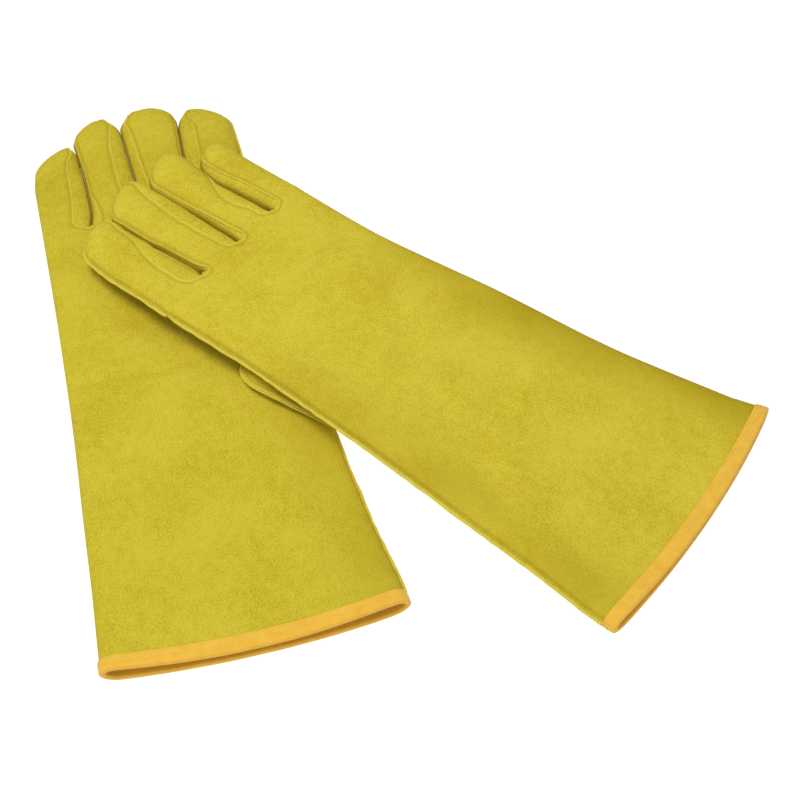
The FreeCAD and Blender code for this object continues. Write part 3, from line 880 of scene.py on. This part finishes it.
def cuff_tape(back, palm, material, thread):
    glove = back.glove
    layers, mean = tape_surface(back, palm)
    middle = layers.mean(axis=0)
    points, faces, normals = tube(layers, layers - middle)
    run, over = np.broadcast_arrays(run_length(middle)[None], run_length(layers[:, 0])[:, None])
    cut = {"cut": np.stack((run, over, 0 * run), -1).reshape(-1, 3)}
    tape = shell(f"{glove.side}_tape", points, normals, faces, TAPE_THICK, cut, material)
    settle(tape, glove, "cuff", "binding", "cuff_binding")
    line = layers[STITCH_ROW] * (1 - STITCH_SHARE) + layers[STITCH_ROW + 1] * STITCH_SHARE
    sewn = stitches(f"{glove.side}_tape_stitches", line, mean, thread)
    settle(sewn, glove, "cuff", "binding")


def stitch_shape():
    """One stitch, lying along x with its outside up: its points, its faces and its normals."""
    along, full = np.array(STITCH_PROFILE).T[:, :, None]
    wide, high = np.array(STITCH_SECTION).T[:, None]
    lift = high * full + STITCH_LIFT - STITCH_SINK * (1 - full)
    points = np.stack(np.broadcast_arrays(along * STITCH_LENGTH, wide * full * MM, lift * MM), -1)
    points, faces, normals = tube(points, points - points.mean(axis=(0, 1)))
    ends = end_caps(points, len(STITCH_SECTION), (-1, 0, 0), (1, 0, 0))
    return points, np.concatenate((faces, ends)), normals


def stitches(name, line, normals, material):
    """Short lengths of thread laid end to end round a closed line."""
    line, normals = np.concatenate((line, line[:1])), np.concatenate((normals, normals[:1]))
    run = run_length(line)
    count = int(run[-1] / STITCH_PITCH)
    centre = (np.arange(count) + 0.5) * run[-1] / count

    def at(values, where):
        return np.stack([np.interp(where, run, values[:, k]) for k in range(3)], -1)

    place, out = at(line, centre), unit(at(normals, centre))
    ahead = at(line, centre + MM) - place
    ahead = unit(ahead - out * np.sum(ahead * out, axis=1, keepdims=True))
    frames = np.stack((ahead, np.cross(out, ahead), out), axis=1)
    shape, faces, shape_normals = stitch_shape()
    points = (place[:, None] + shape @ frames).reshape(-1, 3)
    corner = shape_normals[faces] @ frames[:, None]
    faces = (np.arange(count)[:, None, None] * len(shape) + faces).reshape(-1, 4)
    return add_mesh(name, points, faces, corner, {"cut": points}, material)


# ---- linings

SOCK_SKIP = 4                # the lining has one face for this many of the hide's
SOCK_START = 5               # the finger's row that its lining starts on
SOCK_DEPTH = LEATHER + 0.1 * MM
SOCK_SLACK = 2.4 * MM        # how much further inside it hangs at the line the cuff turns on
THUMB_SOCK_DEPTH, THUMB_LINING = LEATHER + 0.05 * MM, 0.35 * MM


def sock(points, normals, depth):
    """A thin tube of cloth that far inside closed rings of points."""
    return tube(points - normals * np.reshape(depth, (-1, 1, 1)), normals)[:2]


def lining(name, cut, points, faces, thickness, material):
    return shell(name, points, vertex_normals(points, faces), faces, thickness, {"cut": cut}, material)


def linings(back, palm, material):
    glove = back.glove
    rows = np.arange(1, len(back.index[0]) - 2, SOCK_SKIP)
    u = glove.local(back.points[back.index[0][rows, 0]])[0]
    slack = SOCK_SLACK * np.exp(-((u - FOLD_U) / (2 * JOINT_REACH)) ** 2)
    flat, faces = sock(*around(back, palm, 0, rows, SOCK_SKIP), SOCK_DEPTH + slack)
    obj = lining(f"{glove.side}_hand_sock", flat, *with_thumb_hole(glove, flat, faces), LINING, material)
    settle(obj, glove, "cuff bend", "lining", "hand_lining", "cuff_lining")
    for k, name in enumerate(FINGERS, 1):
        count = len(back.index[k])
        rows = list(range(SOCK_START, count - 3, 3)) + [count - 2]
        flat, faces = sock(*around(back, palm, k, rows, SOCK_SKIP, None), SOCK_DEPTH)
        obj = lining(f"{glove.side}_{name}_sock", flat, flat, faces, LINING, material)
        settle(obj, glove, name + " bend" if has_free_fingers(glove) else "glove", "lining", name + "_lining")


# ---- thumbs

THUMB_LENGTH = 72 * MM
THUMB_HEEL = 20 * MM
THUMB_HALF = (19 * MM, 14.5 * MM)    # half widths at its opening and its tip
THUMB_CROWN = 2.9 * MM
THUMB_DROP = 3.5 * MM                # middle plane of the thumb below the palm
THUMB_ANGLE = math.radians(9)
THUMB_ROUND = (16 * MM, 14 * MM)     # tip and heel
THUMB_HOLE = 12.2 * MM
THUMB_COLUMNS, RING_FACES = 26, 60
RING_SEAM = 0.5 * MM
THUMB_WAVES, THUMB_SLACK = (11 * MM, 16 * MM), 0.3
THUMB_POWERS = (0.8, 0.7, 0.6)       # of its half width, its section and its height at the ends
HOLE_DEPTH = 6 * MM                  # how near the palm's plane a face lies that the hole may open
THUMB_WELT_SHARE = 0.6               # how far its side welt stands out, as a share of the hand's
RING_SECTION = ((0.0, -1.6), (0.45, -1.8), (0.9, -1.6), (1.1, -0.4), (1.1, 0.6), (0.8, 1.1), (0.4, 1.15),
                (0.0, 1.0))


def thumb_frame(glove):
    """Middle of the thumb's opening, its direction, the direction across it and its upright."""
    joint = JOINTS[glove.side + "_thumb_swing"]
    normal = np.array(joint["axis"], float)
    normal = normal * np.sign(normal[2])
    along = unit(glove.along - normal * (glove.along @ normal))
    across = unit(glove.across - normal * (glove.across @ normal))
    ahead = along * math.cos(THUMB_ANGLE) + across * math.sin(THUMB_ANGLE)
    aside = across * math.cos(THUMB_ANGLE) - along * math.sin(THUMB_ANGLE)
    return np.array(joint["pos_m"], float), ahead, aside, normal


def with_thumb_hole(glove, points, faces):
    """Opens the surface where the thumb joins it. Only faces near the palm's plane are opened."""
    centre, _, _, normal = thumb_frame(glove)
    height = np.abs((points - centre) @ normal)
    low = (height < HOLE_DEPTH)[faces].all(axis=1)
    moved, kept = pierced(points, faces[low], centre, normal, THUMB_HOLE)
    return moved, np.concatenate((faces[~low], kept))


def thumb_rows():
    turn = np.radians(TIP_TURNS)
    heel = -THUMB_HEEL + THUMB_ROUND[1] * (1 - np.sin(turn[::-1]))
    tip = THUMB_LENGTH - THUMB_ROUND[0] * (1 - np.sin(turn))
    straight = np.arange(heel[-1] + 2 * ROW, tip[0] - ROW, 1.5 * ROW)
    p = np.concatenate((heel, straight, tip))
    return p, np.concatenate((np.cos(turn[::-1]), np.ones(len(straight)), np.cos(turn)))


def thumb_grid(glove, up):
    centre, ahead, aside, normal = thumb_frame(glove)
    p, full = thumb_rows()
    q = np.linspace(0, 1, THUMB_COLUMNS + 1)
    share = np.clip(p / THUMB_LENGTH, 0, 1)
    half = (THUMB_HALF[0] + (THUMB_HALF[1] - THUMB_HALF[0]) * share) * full ** THUMB_POWERS[0]
    w = -half[:, None] * np.cos(np.pi * q)
    slack = 0.5 + 0.5 * noise(p[:, None] / THUMB_WAVES[0], w / THUMB_WAVES[1] + 5, 60 + up)
    section = np.sin(np.pi * q) ** THUMB_POWERS[1]
    rise = WELT_HALF + (THUMB_CROWN - WELT_HALF) * section * (1 - THUMB_SLACK * slack)
    z = -THUMB_DROP + up * rise * (full ** THUMB_POWERS[2])[:, None]
    p = np.broadcast_to(p[:, None], w.shape)
    points = centre + p[..., None] * ahead + w[..., None] * aside + z[..., None] * normal
    index = np.arange(w.size).reshape(w.shape)
    cut = np.stack((p.ravel(), w.ravel(), 0 * w.ravel()), -1)
    return points.reshape(-1, 3), index, cut


def thumb(glove, material, cloth):
    centre, _, _, normal = thumb_frame(glove)
    halves = {}
    for half, up in (("back", BACK), ("front", PALM)):
        points, index, cut = thumb_grid(glove, up)
        faces = facing(points, grid_faces(index), np.broadcast_to(normal * up, points.shape))
        normals = vertex_normals(points, faces)
        halves[half] = (points, normals, index)
        if half == "back":
            points, faces = pierced(points, faces, centre, normal, THUMB_HOLE)
        sides = (points[index[:, k]].repeat(index.shape[1], 0) for k in (0, -1))
        edge = np.minimum(*(np.linalg.norm(points - side, axis=1) for side in sides))
        obj = shell(f"{glove.side}_thumb_{half}_hide", points, normals, faces, LEATHER,
                    {"cut": cut, "seam": edge}, material)
        settle(obj, glove, "thumb", "suede", "thumb_" + half)
    thumb_welt(glove, halves, material)
    thumb_sock(glove, halves, cloth)
    thumb_ring(glove, material)


def thumb_welt(glove, halves, material):
    normal = thumb_frame(glove)[3]
    sides = [sum(points[index[:, k]] for points, _, index in halves.values()) / 2 for k in (0, -1)]
    line = np.concatenate((sides[1], sides[0][::-1]))
    out = unit(np.cross(np.roll(line, -1, axis=0) - np.roll(line, 1, axis=0), normal))
    if np.sum(out * (line - line.mean(axis=0))) < 0:
        out = -out
    out = out * THUMB_WELT_SHARE
    obj = welt_solid(f"{glove.side}_thumb_seam_welt", line, out, normal, 21, True, material)
    settle(obj, glove, "thumb", "suede", "thumb_welt")


def thumb_sock(glove, halves, cloth):
    centre, _, _, normal = thumb_frame(glove)
    rows = np.arange(4, len(halves["back"][2]) - 4, 2)
    across = (("back", halves["back"][2][rows, 2:-2:3]), ("front", halves["front"][2][rows, -3:1:-3]))
    points, normals = (np.concatenate([halves[half][k][own] for half, own in across], axis=1) for k in (0, 1))
    flat, faces = sock(points, normals, THUMB_SOCK_DEPTH)
    upper = ((flat - centre) @ normal > -THUMB_DROP)[faces].all(axis=1)
    moved, kept = pierced(flat, faces[upper], centre, normal, THUMB_HOLE)
    faces = np.concatenate((faces[~upper], kept))
    obj = lining(f"{glove.side}_thumb_sock", flat, moved, faces, THUMB_LINING, cloth)
    settle(obj, glove, "thumb", "lining", "thumb_lining")


def thumb_ring(glove, material):
    """The welt round the opening between the palm and the thumb."""
    centre, ahead, aside, normal = thumb_frame(glove)
    turn = np.linspace(0, 2 * np.pi, RING_FACES, endpoint=False)
    out = np.cos(turn)[:, None] * ahead + np.sin(turn)[:, None] * aside
    section = np.array(RING_SECTION) * MM
    line = centre + out * THUMB_HOLE
    points = line[:, None] + section[None, :, :1] * out[:, None] + section[None, :, 1:] * normal
    flat, faces, normals = tube(points, points - points.mean(axis=1, keepdims=True), True)
    attributes = {"cut": flat, "seam": np.full(len(flat), RING_SEAM)}
    obj = add_mesh(f"{glove.side}_thumb_hole_welt", flat, faces, normals[faces], attributes, material)
    settle(obj, glove, "glove", "suede", "thumb_ring")


# ---- materials

NOISE_SPAN = (0.3, 0.7)


class Nodes:
    """A small helper that adds and links the nodes of a material or a world."""

    def __init__(self, owner, shader="Principled BSDF"):
        self.owner = owner
        owner.use_nodes = True
        self.tree = owner.node_tree
        self.shader = self.tree.nodes[shader]

    def add(self, kind, inputs=(), **settings):
        node = self.tree.nodes.new(kind)
        for key, value in settings.items():
            setattr(node, key, value)
        for key, value in dict(inputs).items():
            self.put(node.inputs[key], value)
        return node

    def put(self, socket, value):
        if isinstance(value, bpy.types.NodeSocket):
            self.tree.links.new(value, socket)
        else:
            socket.default_value = value

    def attribute(self, name):
        return self.add("ShaderNodeAttribute", attribute_name=name)

    def shade(self, **settings):
        """Sets the shader's inputs. An underscore in a name stands for a space."""
        for key, value in settings.items():
            self.put(self.shader.inputs[key.replace("_", " ")], value)

    def bump(self, height, strength, distance):
        inputs = {"Height": height, "Strength": strength, "Distance": distance}
        return self.add("ShaderNodeBump", inputs).outputs["Normal"]

    def wave(self, vector, scale, distortion, axis="X"):
        inputs = {"Vector": vector, "Scale": scale, "Distortion": distortion, "Detail": 1.0}
        return self.add("ShaderNodeTexWave", inputs, bands_direction=axis).outputs["Fac"]

    def noise(self, vector, scale, detail=2.0, roughness=0.5):
        inputs = {"Vector": vector, "Scale": scale, "Detail": detail, "Roughness": roughness}
        return self.add("ShaderNodeTexNoise", inputs).outputs["Fac"]

    def ramp(self, value, low, high, to_low=0.0, to_high=1.0):
        inputs = {"Value": value, "From Min": low, "From Max": high, "To Min": to_low, "To Max": to_high}
        return self.add("ShaderNodeMapRange", inputs).outputs["Result"]

    def spread(self, noise, to_low=0.0, to_high=1.0):
        """The range that a noise mostly keeps to, stretched to the one given."""
        return self.ramp(noise, *NOISE_SPAN, to_low, to_high)

    def math(self, operation, a, b):
        node = self.add("ShaderNodeMath", operation=operation)
        self.put(node.inputs[0], a)
        self.put(node.inputs[1], b)
        return node.outputs[0]

    def mix(self, factor, a, b):
        """Mixes two colours. The node has several sockets of each name, so they go by number."""
        node = self.add("ShaderNodeMix", data_type="RGBA")
        for socket, value in ((0, factor), (6, a), (7, b)):
            self.put(node.inputs[socket], value)
        return node.outputs[2]


def rgb(red, green, blue):
    """A colour given as it shows on a screen, 0 to 255, as the renderer's linear value."""
    def linear(c):
        c = c / 255
        return c / 12.92 if c <= 0.04045 else ((c + 0.055) / 1.055) ** 2.4
    return (linear(red), linear(green), linear(blue), 1.0)


# Screen colours of the hide: light, main and dark nap, painted shade for grooves, gaps and sides, and cut
# edges
HIDE_TONES = {
    "left": ((214, 196, 64), (205, 187, 52), (187, 166, 34)),
    "right": ((219, 201, 68), (210, 191, 56), (192, 170, 35)),
}
SHADE_TONE = (150, 124, 18)
SIDE_SHADE_TONE = (178, 156, 30)
EDGE_TONE = (222, 205, 90)
TAPE_TONES = ((232, 178, 52), (240, 192, 68), (214, 160, 42))    # two of the cloth, and its ribs
THREAD_TONES = ((222, 200, 90), (236, 216, 120))
KNIT_TONES = ((190, 172, 130), (212, 196, 158))

# The hide's noises, as scale, detail and roughness, and how much each of them changes the tone
BROAD, PATCH, NAP = (22, 3.0, 0.55), (190, 3.0, 0.6), (900, 4.0, 0.75)
BROAD_TONE, PATCH_TONE, NAP_TONE = 0.5, 0.4, 1.4
# Distances from a seam at which the painted shade of its groove darkens the hide and fades again, and over
# which a cut edge lightens, each from none to all, with the strength of both and of the painted shade deep
# between fingers
GROOVE_NEAR, GROOVE_FAR, CUT_EDGE = (1.0 * MM, 1.8 * MM), (3.6 * MM, 2.0 * MM), (1.1 * MM, 0.3 * MM)
GROOVE_SHADE_STRENGTH, EDGE_STRENGTH, GAP_SHADE_STRENGTH = 0.35, 0.5, 0.8


def suede(side):
    """Split leather: a matte nap, mottled at three scales, paler on its cut edges. Painted shade darkens its
    seam grooves, the gaps between fingers and the gauntlet's sides.
    """
    n = Nodes(bpy.data.materials.new(side + "_suede"))
    light_tone, main_tone, dark_tone = (rgb(*tone) for tone in HIDE_TONES[side])
    where = n.attribute("cut").outputs["Vector"]
    broad, patch, nap = (n.noise(where, *setting) for setting in (BROAD, PATCH, NAP))
    tone = n.math("ADD", n.spread(broad, -BROAD_TONE, BROAD_TONE), n.spread(patch, -PATCH_TONE, PATCH_TONE))
    tone = n.math("ADD", tone, n.spread(nap, -NAP_TONE, NAP_TONE))
    colour = n.mix(n.ramp(tone, 0.0, 1.0), main_tone, light_tone)
    colour = n.mix(n.ramp(tone, 0.0, -1.0), colour, dark_tone)
    # Painted shade along the gauntlet's sides
    colour = n.mix(n.attribute("side_shade").outputs["Fac"], colour, rgb(*SIDE_SHADE_TONE))
    seam = n.attribute("seam").outputs["Fac"]
    # Painted shade in the groove beside each seam
    groove_shade = n.math("MULTIPLY", n.ramp(seam, *GROOVE_NEAR), n.ramp(seam, *GROOVE_FAR))
    colour = n.mix(n.math("MULTIPLY", groove_shade, GROOVE_SHADE_STRENGTH), colour, rgb(*SHADE_TONE))
    # Painted shade deep in the gaps between fingers
    deep = n.ramp(n.attribute("deep").outputs["Fac"], 0.35, 1.0)
    colour = n.mix(n.math("MULTIPLY", deep, GAP_SHADE_STRENGTH), colour, rgb(*SHADE_TONE))
    edge = n.math("MULTIPLY", n.ramp(seam, *CUT_EDGE), EDGE_STRENGTH)
    colour = n.mix(edge, colour, rgb(*EDGE_TONE))
    height = n.math("ADD", n.math("MULTIPLY", nap, 0.9), n.math("MULTIPLY", patch, 0.5))
    n.shade(Base_Color=colour, Roughness=0.95, Specular_IOR_Level=0.08, Normal=n.bump(height, 0.8, 0.7 * MM))
    return n.owner


def tape_material():
    """Woven cotton tape: a fine cross rib."""
    n = Nodes(bpy.data.materials.new("woven_tape"))
    where = n.attribute("cut").outputs["Vector"]
    weave = n.math("MULTIPLY", n.wave(where, 420.0, 1.5), n.wave(where, 300.0, 1.0, "Y"))
    patch = n.noise(where, 150, 3.0)
    dark_tone, light_tone, rib_tone = (rgb(*tone) for tone in TAPE_TONES)
    colour = n.mix(n.spread(patch), dark_tone, light_tone)
    colour = n.mix(n.math("MULTIPLY", weave, 0.25), colour, rib_tone)
    n.shade(Base_Color=colour, Roughness=0.8, Specular_IOR_Level=0.25, Sheen_Weight=0.2,
            Normal=n.bump(weave, 0.5, 0.2 * MM))
    return n.owner


def thread_material():
    n = Nodes(bpy.data.materials.new("thread"))
    twist = n.noise(n.attribute("cut").outputs["Vector"], 2500, 1.0)
    colour = n.mix(n.spread(twist), *(rgb(*tone) for tone in THREAD_TONES))
    n.shade(Base_Color=colour, Roughness=0.6)
    return n.owner


def cloth_material():
    """The knitted cotton lining."""
    n = Nodes(bpy.data.materials.new("lining_knit"))
    loops = n.wave(n.attribute("cut").outputs["Vector"], 260.0, 3.0)
    colour = n.mix(loops, *(rgb(*tone) for tone in KNIT_TONES))
    n.shade(Base_Color=colour, Roughness=0.95, Normal=n.bump(loops, 0.4, 0.2 * MM))
    return n.owner


# ---- camera, light and ground

CAMERA_TURN, CAMERA_RISE = -15.10, 50.69
CAMERA_DISTANCE = 0.871
CAMERA_LENS, CAMERA_SENSOR = 69.5, 36    # millimetres
AIM = Vector((-3.1 * MM, -47.1 * MM, 0.0))
LAMPS = (("key", -90, 74, 1.6, 0.7, 14), ("fill", 0, 35, 1.8, 0.8, 4))    # as area_light takes them
GROUND_REACH = 100.0         # metres
GROUND_SHADE, GROUND_GLOW = 0.25, 0.92
SKY = (0.12, 0.62)           # strength of the light from the horizon and from overhead


def stand(name, data, turn, rise, distance):
    """A camera or a lamp at that distance from the gloves, turned to them."""
    obj = placed(name, data)
    a, e = math.radians(turn), math.radians(rise)
    back = Vector((math.sin(a) * math.cos(e), -math.cos(a) * math.cos(e), math.sin(e)))
    obj.location = AIM + back * distance
    obj.rotation_mode = "QUATERNION"
    obj.rotation_quaternion = (-back).to_track_quat("-Z", "Y")
    return obj


def camera():
    data = bpy.data.cameras.new("camera")
    data.lens = CAMERA_LENS
    data.sensor_width = CAMERA_SENSOR
    bpy.context.scene.camera = stand("camera", data, CAMERA_TURN, CAMERA_RISE, CAMERA_DISTANCE)


def area_light(name, turn, rise, distance, size, watts):
    data = bpy.data.lights.new(name, "AREA")
    data.shape = "DISK"
    data.size = size
    data.energy = watts
    stand(name, data, turn, rise, distance)


def ground():
    mesh = bpy.data.meshes.new("ground")
    r = GROUND_REACH
    mesh.from_pydata([(-r, -r, 0), (r, -r, 0), (r, r, 0), (-r, r, 0)], [], [(0, 1, 2, 3)])
    n = Nodes(bpy.data.materials.new("ground_white"))
    n.shade(Base_Color=(GROUND_SHADE,) * 3 + (1.0,), Roughness=1.0, Specular_IOR_Level=0.0,
            Emission_Color=(1, 1, 1, 1), Emission_Strength=GROUND_GLOW)
    mesh.materials.append(n.owner)
    placed("ground", mesh)


def world():
    """White light from all round, strongest from straight above."""
    n = Nodes(bpy.data.worlds.new("white"), "Background")
    bpy.context.scene.world = n.owner
    where = n.add("ShaderNodeTexCoord").outputs["Generated"]
    height = n.add("ShaderNodeSeparateXYZ", {"Vector": where}).outputs["Z"]
    n.shade(Color=(1, 1, 1, 1), Strength=n.ramp(height, 0.0, 1.0, *SKY))


# ---- the pair

def build_glove(side, tape, thread, cloth):
    glove, hide = Glove(side), suede(side)
    back, palm = Panel(glove, BACK), Panel(glove, PALM)
    panel_pieces(back, "back", hide)
    panel_pieces(palm, "palm", hide)
    gussets(back, palm, hide)
    side_welt(back, palm, hide)
    cuff_tape(back, palm, tape, thread)
    linings(back, palm, cloth)
    thumb(glove, hide, cloth)


def build():
    tape, thread, cloth = tape_material(), thread_material(), cloth_material()
    for side in ("left", "right"):
        build_glove(side, tape, thread, cloth)
    camera()
    for lamp in LAMPS:
        area_light(*lamp)
    ground()
    world()
    bpy.context.scene.view_settings.view_transform = "Standard"


build()
